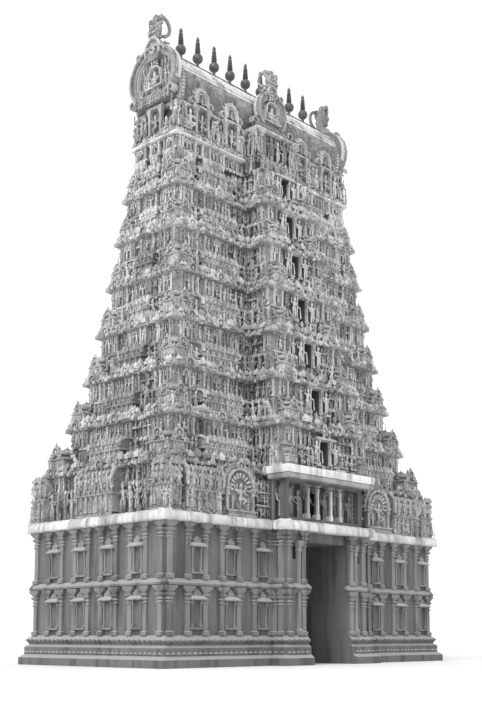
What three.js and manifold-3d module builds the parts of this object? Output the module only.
// A nine-storey South Indian temple gateway tower at half its real size: two granite masses with the
// passage between them, eight hollow brick storeys that step in, and a barrel-vaulted crown with nine finials.
// +X runs along the ridge, -Y faces the front, +Z is up, and the origin is the middle of the footprint.
import * as THREE from 'three';
import { mergeVertices } from 'three/addons/utils/BufferGeometryUtils.js';
import Module from 'manifold-3d';

const wasm = await Module();
wasm.setup();

// Every size below is in metres of the real tower
const MODEL_MM = 500;
const SEAM = 0.3 / MODEL_MM;
// Further out and higher than any face of the tower, for cuts that pass right through
const BEYOND = 60;

const PASSAGE = { half: 2.5, lintelUnder: 9.3, rebateUnder: 9.58, lintelBearing: 0.5, lintelSetBack: 0.25 };
const BASE = {
  plinthTop: 2.2, wallTop: 10.05, floor: 10.8,
  halfLength: 15.7, halfWidth: 7.5, bayHalf: 4.9, bayFront: 8.8,
  plinthFlare: 0.8, eave: 0.55,
};
const BASE_WINDOW = { x: 3.75, width: 0.7, sill: 7.9, head: 9.1, depth: 0.5 };
// The relief of the granite walls: posts with a broad cap to each tier, a course between the tiers, hoods over niches
const BASE_POST = { spacing: 1.75, inset: 0.35, half: 0.165, depth: 0.115, capHalf: 0.5, capDepth: 0.32, capHeight: 0.15 };
const BAY_POST_INSET = { corner: 0.45, gate: 0.42 };
const TIER_COURSE = { bottom: 5.62, lip: 5.7, lipTop: 5.8, top: 6.06, reach: 0.26, root: 0.05 };
const NICHE_HOOD = { feet: [4.67, 8.37], rise: 0.26, half: 0.74, depth: 0.46, topHalf: 0.52, topDepth: 0.21 };

// One row a storey: eave top, wall half-length and half-width, half-width and front of the middle bay,
// wall thickness, top of the built floor, door head and door width
const STOREYS = [
  { top: 14.9, l: 14.8, w: 6.7, bay: 5.0, front: 7.4, wall: 1.3, floor: 10.8, head: 13.4, door: 1.6 },
  { top: 18.6, l: 13.45, w: 5.65, bay: 4.9, front: 8.5, wall: 1.2, floor: 15.45, head: 17.35, door: 1.15 },
  { top: 22.4, l: 12.5, w: 4.8, bay: 4.5, front: 7.65, wall: 1.1, floor: 19.75, head: 21.65, door: 1.1 },
  { top: 26.3, l: 11.8, w: 4.2, bay: 4.0, front: 6.9, wall: 1.0, floor: 23.65, head: 25.6, door: 1.0 },
  { top: 30.2, l: 11.25, w: 3.7, bay: 3.55, front: 6.25, wall: 0.9, floor: 27.5, head: 29.45, door: 1.0 },
  { top: 34.0, l: 10.85, w: 3.2, bay: 3.15, front: 5.6, wall: 0.85, floor: 31.4, head: 33.3, door: 0.95 },
  { top: 37.6, l: 10.5, w: 2.75, bay: 2.85, front: 5.0, wall: 0.8, floor: 35.05, head: 36.85, door: 0.9 },
  { top: 41.9, l: 10.2, w: 2.25, bay: 2.6, front: 4.4, wall: 0.75, floor: 38.6, head: 40.2, door: 0.85 },
];
const EAVE = { depth: 0.5, reach: 0.5, topLedgeReach: 0.45 };
const FLOOR_DEPTH = 0.3;
// How much of a storey's rise the pavilions in front of its foot take up
const PAVILION_SHARE = { 1: 0.85, 8: 0.4, usual: 0.46 };
// The first storey's wing pavilions stand nearer the corners, beside its large arched niches
const FIRST_WING_PAVILION = { x: 12.2, half: 1.7 };
const LEDGE_INSET = 0.3;
const LEDGE_LAP = 0.05;
// Above this course the middle bay of the eighth storey steps back to the line of the neck's bay
const STRING_COURSE = { bottom: 40.0, top: 40.4, reach: 0.3, edge: 0.12, root: 0.05 };
const BAY_ROOF_DEPTH = 0.2;

const PORCH = {
  halfLength: 5.15, back: 7.15, front: 9.4, plateUnder: 14.4, lipUnder: 14.05, lipTop: 14.7, top: 14.9,
  lipFront: 0.6, lipSide: 0.35, lipBack: 7.55, columnLine: 8.4, plinthTop: 11.1, beamUnder: 13.75, beamHalf: 0.25,
};
const PORCH_COLUMNS = [0.8, 1.95];
const PORCH_POST = { x: 4.45, half: 0.25 };
const COLUMN_RADIUS = 0.15;

const NECK = { bottom: 41.9, top: 44.3, l: 9.9, w: 2.1, bay: 2.3, front: 3.6, wall: 0.5 };
const SPRINGING = { top: 44.6, reach: 0.3 };
const VAULT = { half: 10.1, centre: 46.0, across: 2.5, rise: 3.0, shell: 0.35, sides: 16 };
const RIDGE = { half: 9.9, across: 0.3, under: 48.6, top: 49.6 };
// Each gable: a deep horseshoe hood round a sunk field, on a low block, with a small arched head and a lion mask on top
const END_GABLE = {
  inner: 10.1 + SEAM, outer: 10.95, foot: 45.2, centre: 47.0, across: 2.7, rise: 2.5, rim: 0.2, sink: 0.65,
  sides: 18, blockHalf: 2.1, blockBack: 10.1 + SEAM, head: { across: 0.9, rise: 1.0, centre: 49.2 },
  mask: { half: 0.88, depth: 0.55, height: 2.3, foot: 50.1 },
};
const FRONT_GABLE = {
  inner: 2.65, outer: 3.3, foot: 45.3, centre: 46.7, across: 1.75, rise: 1.85, rim: 0.16, sink: 0.4,
  sides: 16, blockHalf: 2.0, blockBack: 1.9, head: { across: 0.6, rise: 0.55, centre: 48.4 },
  mask: { half: 0.85, depth: 0.48, height: 1.75, foot: 48.75 },
};
const GABLE_HEAD = { sides: 10, cut: 0.8, setBack: 0.1 };
const GABLE_BLOCK = { setBack: 0.05, lap: 0.1 };
const CROSS_VAULT = { across: 1.5, rise: 1.6, back: 1.2, sides: 14, lap: 0.01 };
const FINIAL = { count: 9, spacing: 1.94, sides: 8 };
// Radius and height above the ridge, from the foot to the bud
const FINIAL_PROFILE = [
  [0, 0], [0.24, 0], [0.13, 0.3], [0.42, 0.72], [0.42, 1.08], [0.14, 1.36],
  [0.26, 1.5], [0.15, 1.72], [0.24, 1.94], [0.14, 2.2], [0.18, 2.45], [0, 2.9],
];

const COLOURS = {
  granite: [0x4f5052, 0.9, 0], limewash: [0xbdbdbb, 0.85, 0], stucco: [0x8b8c8e, 0.9, 0],
  vault: [0x55575a, 0.75, 0], ridge: [0xa3a4a4, 0.8, 0], metal: [0x3a3b3d, 0.45, 0.7],
};

const tower = new THREE.Group();

// Adds one named piece, turning metres of the real tower into millimetres of the model
function addPiece(name, solid, colour) {
  const mesh = solid.getMesh();
  const geometry = new THREE.BufferGeometry();
  geometry.setAttribute('position', new THREE.BufferAttribute(new Float32Array(mesh.vertProperties), 3));
  geometry.setIndex(new THREE.BufferAttribute(new Uint32Array(mesh.triVerts), 1));
  geometry.scale(MODEL_MM, MODEL_MM, MODEL_MM);
  const [color, roughness, metalness] = COLOURS[colour];
  const piece = new THREE.Mesh(geometry, new THREE.MeshStandardMaterial({ color, roughness, metalness }));
  piece.name = name;
  tower.add(piece);
}

function toSolid(geometry) {
  geometry.deleteAttribute('normal');
  geometry.deleteAttribute('uv');
  const merged = mergeVertices(geometry, 1e-5);
  return new wasm.Manifold(new wasm.Mesh({
    numProp: 3,
    vertProperties: new Float32Array(merged.attributes.position.array),
    triVerts: new Uint32Array(merged.index.array),
  }));
}

function join(solids) {
  return solids.reduce((sum, solid) => sum.add(solid));
}

function box(x0, x1, y0, y1, z0, z1) {
  const geometry = new THREE.BoxGeometry(x1 - x0, y1 - y0, z1 - z0);
  geometry.translate((x0 + x1) / 2, (y0 + y1) / 2, (z0 + z1) / 2);
  return toSolid(geometry);
}

function prism(outline, bottom, top) {
  const shape = new THREE.Shape(outline);
  const geometry = new THREE.ExtrudeGeometry(shape, { depth: top - bottom, bevelEnabled: false });
  geometry.translate(0, 0, bottom);
  return toSolid(geometry);
}

// A closed solid through outlines of like point counts, each at its own height
function loft(sections) {
  const count = sections[0].outline.length;
  const positions = sections.flatMap(({ outline, z }) => outline.flatMap((p) => [p.x, p.y, z]));
  const index = [];
  for (let s = 0; s + 1 < sections.length; s += 1) {
    for (let i = 0; i < count; i += 1) {
      const a = s * count + i;
      const b = s * count + ((i + 1) % count);
      index.push(a, b, b + count, a, b + count, a + count);
    }
  }
  const last = (sections.length - 1) * count;
  THREE.ShapeUtils.triangulateShape(sections[0].outline, []).forEach(([a, b, c]) => index.push(a, c, b));
  THREE.ShapeUtils.triangulateShape(sections.at(-1).outline, [])
    .forEach(([a, b, c]) => index.push(last + a, last + b, last + c));
  const geometry = new THREE.BufferGeometry();
  geometry.setAttribute('position', new THREE.Float32BufferAttribute(positions, 3));
  geometry.setIndex(index);
  return toSolid(geometry);
}

function rectangle(l, w) {
  return [[-l, -w], [l, -w], [l, w], [-l, w]].map(([x, y]) => new THREE.Vector2(x, y));
}

// A long rectangle whose middle bay steps forward at the front and the back
function bayedPlan({ l, w, bay, front }, grow = 0) {
  const [L, W, B, F] = [l + grow, w + grow, bay + grow, front + grow];
  return [
    [-L, -W], [-B, -W], [-B, -F], [B, -F], [B, -W], [L, -W],
    [L, W], [B, W], [B, F], [-B, F], [-B, W], [-L, W],
  ].map(([x, y]) => new THREE.Vector2(x, y));
}

// The room inside a storey follows the walls at their thickness and reaches into the bays
function roomPlan({ l, w, bay, front, wall }) {
  return bayedPlan({ l: l - wall, w: w - wall, bay: bay - wall, front: front - wall });
}

// The rolled eave of a storey: a short soffit, an upright lip and a rounded back
function eaveSolid(planAt, bottom, top, reach) {
  const depth = top - bottom;
  return loft([
    { outline: planAt(reach * 0.25), z: bottom },
    { outline: planAt(reach), z: bottom + depth * 0.12 },
    { outline: planAt(reach), z: bottom + depth * 0.45 },
    { outline: planAt(reach * 0.8), z: bottom + depth * 0.8 },
    { outline: planAt(reach * 0.45), z: top },
  ]);
}

// A square domed pavilion on the ledge
function domedPavilion(x, y, half, bottom, height) {
  const profile = [[0.92, 0], [0.92, 0.52], [0.9, 0.76], [0.15, 1]];
  return loft(profile.map(([size, level]) => ({
    outline: rectangle(half * size, half * size).map((p) => new THREE.Vector2(p.x + x, p.y + y)),
    z: bottom + height * level,
  })));
}

// An oblong pavilion with a wagon roof along X or along Y
function wagonPavilion(x, y, halfX, halfY, bottom, height, alongX) {
  const across = alongX ? halfY : halfX;
  const along = alongX ? halfX : halfY;
  const profile = [[-0.92, 0], [0.92, 0], [1, 0.6], [0.8, 0.86], [0, 1], [-0.8, 0.86], [-1, 0.6]]
    .map(([u, v]) => new THREE.Vector2(u * across, v * height));
  const geometry = new THREE.ExtrudeGeometry(new THREE.Shape(profile), { depth: 2 * along, bevelEnabled: false });
  geometry.translate(0, 0, -along);
  geometry.rotateX(Math.PI / 2);
  if (alongX) geometry.rotateZ(Math.PI / 2);
  geometry.translate(x, y, bottom);
  return toSolid(geometry);
}

// A shape made for a face that looks to -Y, set at a distance along a face of the plan
function onFace(shape, { start, angle }, along) {
  return shape.rotate([0, 0, (angle * 180) / Math.PI])
    .translate([start.x + along * Math.cos(angle), start.y + along * Math.sin(angle), 0]);
}

// The faces of a plan from corner to corner, with the outside on the right
function facesOf(outline) {
  return outline.map((start, i) => {
    const end = outline[(i + 1) % outline.length];
    return { start, length: start.distanceTo(end), angle: Math.atan2(end.y - start.y, end.x - start.x) };
  });
}

// Posts, the course between the two tiers, and niche hoods in every second space between posts
function baseRelief(base) {
  const { spacing, inset, half, depth, capHalf, capDepth, capHeight } = BASE_POST;
  const root = TIER_COURSE.root;
  const post = join([
    box(-half, half, -depth, root, BASE.plinthTop + SEAM, BASE.wallTop),
    ...[TIER_COURSE.bottom, BASE.wallTop].map((top) => box(-capHalf, capHalf, -capDepth, root, top - capHeight, top)),
  ]);
  const hoods = join(NICHE_HOOD.feet.map((foot) => loft([
    { outline: rectangle(NICHE_HOOD.half, NICHE_HOOD.depth), z: foot },
    { outline: rectangle(NICHE_HOOD.topHalf, NICHE_HOOD.topDepth), z: foot + NICHE_HOOD.rise },
  ])));
  const course = loft([
    { outline: bayedPlan(base, root), z: TIER_COURSE.bottom },
    { outline: bayedPlan(base, TIER_COURSE.reach), z: TIER_COURSE.lip },
    { outline: bayedPlan(base, TIER_COURSE.reach), z: TIER_COURSE.lipTop },
    { outline: bayedPlan(base, root), z: TIER_COURSE.top },
  ]);
  const shapes = facesOf(bayedPlan(base)).flatMap((face) => {
    const middle = face.length / 2;
    if (face.length === 2 * base.bay) {
      const { corner, gate } = BAY_POST_INSET;
      const places = [middle - corner, PASSAGE.half + gate].flatMap((offset) => [middle - offset, middle + offset]);
      return places.map((along) => onFace(post, face, along));
    }
    const count = Math.max(1, Math.round(face.length / spacing));
    const at = (step) => inset + ((face.length - 2 * inset) * step) / count;
    const posts = Array.from({ length: count + 1 }, (_, i) => onFace(post, face, at(i)));
    const niches = Array.from({ length: Math.floor(count / 2) }, (_, i) => onFace(hoods, face, at(2 * i + 1.5)));
    return [...posts, ...niches];
  });
  return join([course, ...shapes]);
}

// The granite masses on each side of the passage, their moulded plinths and the lintel over the passage
function addBase() {
  const flare = BASE.plinthFlare;
  const base = { l: BASE.halfLength, w: BASE.halfWidth, bay: BASE.bayHalf, front: BASE.bayFront };
  const plinth = loft([
    { outline: bayedPlan(base, flare), z: 0 },
    { outline: bayedPlan(base, flare), z: 0.55 },
    { outline: bayedPlan(base, flare * 0.6), z: 0.8 },
    { outline: bayedPlan(base, flare * 0.6), z: 1.35 },
    { outline: bayedPlan(base, flare * 0.25), z: 1.55 },
    { outline: bayedPlan(base, flare * 0.55), z: 1.85 },
    { outline: bayedPlan(base, flare * 0.1), z: BASE.plinthTop },
  ]);
  const half = PASSAGE.half;
  const rebateUnder = PASSAGE.rebateUnder;
  const lintelFront = BASE.bayFront - PASSAGE.lintelSetBack;
  const lintelHalf = half + PASSAGE.lintelBearing;
  const walls = join([prism(bayedPlan(base), BASE.plinthTop + SEAM, BASE.wallTop), baseRelief(base)])
    .subtract(box(-lintelHalf, lintelHalf, -BEYOND, BEYOND, rebateUnder, BEYOND));
  const lintel = join([
    box(-half + SEAM, half - SEAM, -lintelFront, lintelFront, PASSAGE.lintelUnder, rebateUnder + 2 * SEAM),
    box(-lintelHalf + SEAM, lintelHalf - SEAM, -lintelFront, lintelFront, rebateUnder + SEAM, BASE.wallTop),
  ]);
  const { x, width, sill, head, depth } = BASE_WINDOW;
  for (const [side, sign] of [['left', -1], ['right', 1]]) {
    const [x0, x1] = sign < 0 ? [-BEYOND, -half] : [half, BEYOND];
    const keep = box(x0, x1, -BEYOND, BEYOND, -1, BEYOND);
    const edge = [sign * x - width / 2, sign * x + width / 2];
    const windows = join([-1, 1].map((face) => {
      const ys = [face * (BASE.bayFront - depth), face * BEYOND].sort((a, b) => a - b);
      return box(...edge, ...ys, sill, head);
    }));
    addPiece(`${side}_base_plinth`, plinth.intersect(keep), 'granite');
    addPiece(`${side}_base_wall`, walls.intersect(keep).subtract(windows), 'granite');
  }
  addPiece('gateway_lintel', lintel, 'granite');
  const cornice = eaveSolid((grow) => bayedPlan(base, grow), BASE.wallTop + SEAM, BASE.floor, BASE.eave);
  addPiece('base_cornice', join([cornice, ...ledgePavilions(1)]), 'limewash');
}

// The ledge that a storey's pavilions stand on
function ledgeUnder(number) {
  if (number === 1) {
    return { top: BASE.floor, l: BASE.halfLength + BASE.eave, w: BASE.halfWidth + BASE.eave, front: STOREYS[0].front };
  }
  const below = STOREYS[number - 2];
  const front = number === 2 ? PORCH.front : below.front + EAVE.reach;
  return { top: below.top, l: below.l + EAVE.reach, w: below.w + EAVE.reach, front };
}

function pavilionHeight(number) {
  const rise = STOREYS[number - 1].top - ledgeUnder(number).top;
  return rise * (PAVILION_SHARE[number] ?? PAVILION_SHARE.usual);
}

// Pavilions in front of a storey: corners, the middle of each wing and end. They stop just clear of its walls.
function ledgePavilions(number) {
  const storey = STOREYS[number - 1];
  const ledge = ledgeUnder(number);
  const height = pavilionHeight(number) + LEDGE_LAP;
  const bottom = ledge.top - LEDGE_LAP;
  const { l, w, bay } = storey;
  const depthX = ledge.l - l - LEDGE_INSET;
  const depthY = ledge.w - w - LEDGE_INSET;
  const half = Math.max(0.75, 0.62 * Math.max(depthX, depthY));
  const wing = number === 1 ? FIRST_WING_PAVILION.x : (bay + l) / 2;
  const wingHalf = number === 1 ? FIRST_WING_PAVILION.half : (l - bay) * 0.24;
  const solids = [];
  for (const sx of [-1, 1]) {
    for (const sy of [-1, 1]) {
      const cornerX = sx * (l + depthX - half);
      const cornerY = sy * (w + depthY - half);
      solids.push(domedPavilion(cornerX, cornerY, half, bottom, height));
      solids.push(wagonPavilion(sx * wing, sy * (w + depthY / 2 - 0.2), wingHalf, depthY / 2 + 0.2,
        bottom, height * 0.94, true));
    }
    solids.push(wagonPavilion(sx * (l + depthX / 2 - 0.2), 0, depthX / 2 + 0.2, w * 0.3,
      bottom, height * 0.97, false));
  }
  return solids.map((solid) => solid.subtract(clearOfWalls(storey)));
}

// Pavilions at the corners of one bay, front or back
function bayPavilions(number, sy) {
  const storey = STOREYS[number - 1];
  const ledge = ledgeUnder(number);
  const depth = ledge.front - storey.front - LEDGE_INSET;
  const size = depth / 2 + 0.2;
  const height = pavilionHeight(number) * 0.85 + LEDGE_LAP;
  return [-1, 1].map((sx) => domedPavilion(
    sx * (storey.bay - size), sy * (storey.front + depth - size), size, ledge.top - LEDGE_LAP, height,
  ).subtract(clearOfWalls(storey)));
}

function clearOfWalls(storey) {
  return prism(bayedPlan(storey, SEAM), 0, BEYOND);
}

// The eighth storey: full bays up to the string course, set-back ones over their flat roofs
function topStoreyShell(storey, setBack, bottom, wallTop) {
  const { bottom: under, top, reach, edge, root } = STRING_COURSE;
  const course = loft([
    { outline: bayedPlan(storey, root), z: under },
    { outline: bayedPlan(storey, reach), z: under + edge },
    { outline: bayedPlan(storey, reach), z: top - edge },
    { outline: bayedPlan(storey, root), z: top },
  ]);
  return join([prism(bayedPlan(storey), bottom, top), course, prism(bayedPlan(setBack), bottom, wallTop)])
    .subtract(prism(roomPlan(storey), 0, top - BAY_ROOF_DEPTH))
    .subtract(prism(roomPlan(setBack), 0, BEYOND));
}

// A storey: hollow walls with a door through each bay, its floor, and the eave with the next storey's pavilions
function addStorey(number, storey, ledge) {
  const bottom = ledge.top + SEAM;
  const isTop = number === STOREYS.length;
  const wallTop = storey.top - EAVE.depth;
  const setBack = { ...storey, bay: NECK.bay, front: NECK.front };
  const sill = number === 1 ? PORCH.plinthTop : storey.floor;
  let walls = isTop ? topStoreyShell(storey, setBack, bottom, wallTop)
    : prism(bayedPlan(storey), bottom, wallTop).subtract(prism(roomPlan(storey), 0, BEYOND));
  if (storey.floor > bottom) walls = walls.add(prism(roomPlan(storey), storey.floor - FLOOR_DEPTH, storey.floor));
  walls = walls.subtract(box(-storey.door / 2, storey.door / 2, -BEYOND, BEYOND, sill, storey.head));
  addPiece(`storey_${number}_walls`, walls, 'stucco');

  // The top ledge follows the wings and ends and dies against the set-back bays
  const planAt = {
    1: (grow) => rectangle(storey.l + grow, PORCH.back - EAVE.reach + grow),
    [STOREYS.length]: (grow) => bayedPlan({ ...setBack, l: storey.l + grow, w: storey.w + grow }),
  }[number] ?? ((grow) => bayedPlan(storey, grow));
  let eave = eaveSolid(planAt, wallTop + SEAM, storey.top, isTop ? EAVE.topLedgeReach : EAVE.reach);
  const above = STOREYS[number];
  if (above) {
    const shaft = number === 1 ? rectangle(above.l - above.wall, above.w - above.wall) : roomPlan(above);
    const standing = ledgePavilions(number + 1);
    if (number > 1) standing.push(...bayPavilions(number + 1, -1), ...bayPavilions(number + 1, 1));
    eave = join([eave, ...standing]).subtract(prism(shaft, 0, BEYOND));
  }
  addPiece(`storey_${number}_cornice`, eave, isTop ? 'limewash' : 'stucco');
}

// The first-storey porch: slender columns on a low plinth under a flat projecting roof
function addPorch(name, sign) {
  const { halfLength: half, front, back, columnLine: line } = PORCH;
  const across = (y0, y1) => [sign * y0, sign * y1].sort((a, b) => a - b);
  const lipSides = [-1, 1].map((side) => {
    const xs = [side * (half - PORCH.lipSide), side * half].sort((a, b) => a - b);
    return box(...xs, ...across(PORCH.lipBack, front), PORCH.lipUnder, PORCH.lipTop);
  });
  const roof = join([
    box(-half, half, ...across(back + SEAM, front), PORCH.plateUnder + 2 * SEAM, PORCH.top),
    box(-half, half, ...across(front - PORCH.lipFront, front), PORCH.lipUnder, PORCH.lipTop),
    ...lipSides,
    ...bayPavilions(2, sign),
  ]);
  addPiece(`${name}_porch_roof`, roof, 'limewash');

  const railHalf = PORCH_POST.x + PORCH_POST.half;
  const ends = across(line - PORCH.beamHalf, line + PORCH.beamHalf);
  const solids = [
    box(-railHalf, railHalf, ...ends, BASE.floor + SEAM, PORCH.plinthTop),
    box(-railHalf, railHalf, ...ends, PORCH.beamUnder, PORCH.plateUnder + SEAM),
  ];
  for (const side of [-1, 1]) {
    const postX = side * PORCH_POST.x;
    solids.push(box(postX - PORCH_POST.half, postX + PORCH_POST.half, ...ends,
      BASE.floor + SEAM, PORCH.plateUnder + SEAM));
    for (const x of PORCH_COLUMNS) {
      const column = new THREE.CylinderGeometry(COLUMN_RADIUS, COLUMN_RADIUS,
        PORCH.beamUnder - PORCH.plinthTop + 0.2, 8);
      column.rotateX(Math.PI / 2);
      column.translate(side * x, sign * line, (PORCH.beamUnder + PORCH.plinthTop) / 2);
      solids.push(toSolid(column));
    }
  }
  addPiece(`${name}_porch_columns`, join(solids), 'limewash');
}

// A horseshoe outline: an ellipse about the given centre, cut level at the foot
function horseshoe(across, rise, centre, foot, sides) {
  const footAngle = Math.asin((foot - centre) / rise);
  const sweep = Math.PI - 2 * footAngle;
  return Array.from({ length: sides + 1 }, (_, i) => {
    const angle = footAngle + (sweep * i) / sides;
    return new THREE.Vector2(across * Math.cos(angle), centre + rise * Math.sin(angle));
  });
}

// A slab of the outline that stands upright, its thickness along X or along Y
function uprightSlab(outline, near, far, alongX) {
  const depth = Math.abs(far - near);
  const geometry = new THREE.ExtrudeGeometry(new THREE.Shape(outline), { depth, bevelEnabled: false });
  geometry.rotateX(Math.PI / 2);
  geometry.translate(0, depth, 0);
  if (alongX) geometry.rotateZ(-Math.PI / 2);
  if (alongX) geometry.translate(Math.min(near, far), 0, 0);
  else geometry.translate(0, Math.min(near, far), 0);
  return toSolid(geometry);
}

// The horned lion mask that crowns each gable
function lionMask(half, depth, height) {
  const head = new THREE.SphereGeometry(1, 8, 5);
  head.rotateX(Math.PI / 2);
  head.scale(half, depth, height * 0.38);
  head.translate(0, 0, height * 0.36);
  const crest = new THREE.ConeGeometry(half * 0.45, height * 0.45, 5);
  crest.rotateX(Math.PI / 2);
  crest.translate(0, 0, height * 0.8);
  const horns = [-1, 1].map((side) => {
    const horn = new THREE.ConeGeometry(half * 0.24, height * 0.5, 4);
    horn.rotateX(Math.PI / 2);
    horn.rotateY(side * 0.35);
    horn.translate(side * half * 0.75, 0, height * 0.68);
    return toSolid(horn);
  });
  return join([toSolid(head), toSolid(crest), ...horns]);
}

// A gable at the given end of its axis: sign is the side it faces, alongX that it faces along X
function gableSolid(gable, alongX, sign) {
  const { inner, outer, foot, centre, across, rise, rim, sink, sides, head, mask } = gable;
  const plate = uprightSlab(horseshoe(across, rise, centre, foot, sides), sign * inner, sign * outer, alongX);
  const field = uprightSlab(horseshoe(across - rim, rise - rim, centre, foot + rim, sides),
    sign * (outer - sink), sign * (outer + sink), alongX);
  const arch = horseshoe(head.across, head.rise, head.centre, head.centre - head.rise * GABLE_HEAD.cut, GABLE_HEAD.sides);
  const crest = uprightSlab(arch, sign * inner, sign * (outer - GABLE_HEAD.setBack), alongX);
  const [near, far] = [sign * gable.blockBack, sign * (outer - GABLE_BLOCK.setBack)].sort((a, b) => a - b);
  const half = gable.blockHalf;
  const [blockFoot, blockTop] = [SPRINGING.top + SEAM, foot + GABLE_BLOCK.lap];
  const block = alongX ? box(near, far, -half, half, blockFoot, blockTop) : box(-half, half, near, far, blockFoot, blockTop);
  const middle = sign * (inner + outer) / 2;
  const lion = lionMask(mask.half, mask.depth, mask.height)
    .rotate([0, 0, alongX ? 90 : 0])
    .translate([alongX ? middle : 0, alongX ? 0 : middle, mask.foot]);
  return join([plate.subtract(field), crest, block, lion]);
}

// The crown: neck walls, springing course, hollow vault, ridge, four gables and the row of finials
function addCrown() {
  const neckRoom = roomPlan(NECK);
  addPiece('crown_neck_walls',
    prism(bayedPlan(NECK), NECK.bottom + SEAM, NECK.top).subtract(prism(neckRoom, 0, BEYOND)), 'stucco');
  const springing = loft([
    { outline: bayedPlan(NECK, SPRINGING.reach * 0.3), z: NECK.top + SEAM },
    { outline: bayedPlan(NECK, SPRINGING.reach), z: NECK.top + 0.1 },
    { outline: bayedPlan(NECK, SPRINGING.reach), z: SPRINGING.top },
  ]).subtract(prism(neckRoom, 0, BEYOND));
  addPiece('crown_springing', springing, 'stucco');

  const foot = SPRINGING.top + SEAM;
  const { across, rise, centre, shell, sides } = VAULT;
  const outline = (grow) => horseshoe(across + grow, rise + grow, centre, foot, sides);
  const inside = uprightSlab(horseshoe(across - shell, rise - shell, centre, foot - 0.5, sides),
    -VAULT.half - 1, VAULT.half + 1, true);
  addPiece('crown_vault', uprightSlab(outline(0), -VAULT.half, VAULT.half, true).subtract(inside), 'vault');

  const clearVault = uprightSlab(outline(2 * SEAM), -VAULT.half - 1, VAULT.half + 1, true);
  const band = box(-RIDGE.half, RIDGE.half, -RIDGE.across, RIDGE.across, RIDGE.under, RIDGE.top);
  addPiece('crown_ridge', band.subtract(clearVault), 'ridge');

  for (const [name, sign] of [['left', -1], ['right', 1]]) {
    addPiece(`${name}_gable`, gableSolid(END_GABLE, true, sign), 'stucco');
  }
  const { centre: crossCentre, inner: gableBack, foot: crossFoot } = FRONT_GABLE;
  const crossArch = horseshoe(CROSS_VAULT.across, CROSS_VAULT.rise, crossCentre, crossFoot, CROSS_VAULT.sides);
  for (const [name, sign] of [['front', -1], ['back', 1]]) {
    const barrel = uprightSlab(crossArch, sign * CROSS_VAULT.back, sign * (gableBack + CROSS_VAULT.lap), false);
    addPiece(`${name}_gable`, join([gableSolid(FRONT_GABLE, false, sign), barrel]).subtract(clearVault), 'stucco');
  }

  const profile = FINIAL_PROFILE.map(([r, z]) => new THREE.Vector2(r, z));
  for (let i = 0; i < FINIAL.count; i += 1) {
    const geometry = new THREE.LatheGeometry(profile, FINIAL.sides);
    geometry.rotateX(Math.PI / 2);
    geometry.translate((i - (FINIAL.count - 1) / 2) * FINIAL.spacing, 0, RIDGE.top + SEAM);
    addPiece(`finial_${i + 1}`, toSolid(geometry), 'metal');
  }
}

addBase();
STOREYS.forEach((storey, i) => addStorey(i + 1, storey, ledgeUnder(i + 1)));
addPorch('front', -1);
addPorch('back', 1);
addCrown();

export default tower;
